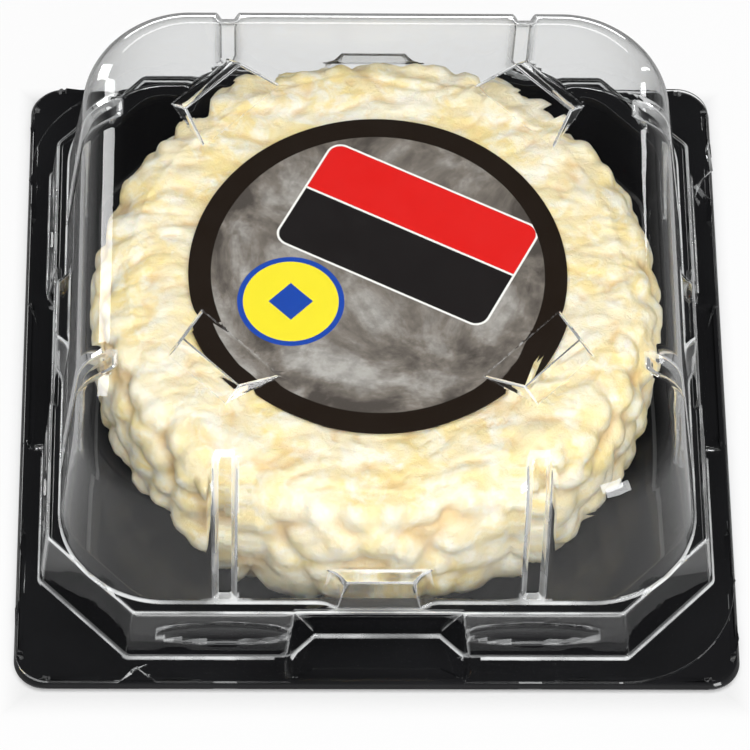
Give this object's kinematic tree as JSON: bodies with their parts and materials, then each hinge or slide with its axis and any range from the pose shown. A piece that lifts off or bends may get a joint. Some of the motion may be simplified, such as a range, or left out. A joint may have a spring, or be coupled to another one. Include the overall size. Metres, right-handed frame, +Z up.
{
  "type": "packed soft round cheese",
  "caption": "Soft round cheese in a black formed tray under a clear press-fit lid, with a plain round paper label lying on the cheese.",
  "frame": {"origin": "middle of the tray's footprint, on the surface that it stands on", "axes": "+Z up, -Y towards the front of the pack, +X to its right"},
  "size_m": [0.088, 0.0894, 0.0354],
  "materials": {
    "tray_plastic": "glossy black formed plastic",
    "lid_film": "clear formed plastic, 0.4 mm",
    "cheese_rind": "cream and pale yellow wrinkled soft rind, satin and moist",
    "label_paper": "printed paper with fields of colour, no lettering"
  },
  "bodies": {
    "root": {"tray": "tray_plastic", "lid": "lid_film", "cheese": "cheese_rind", "label": "label_paper"}
  },
  "joints": []
}
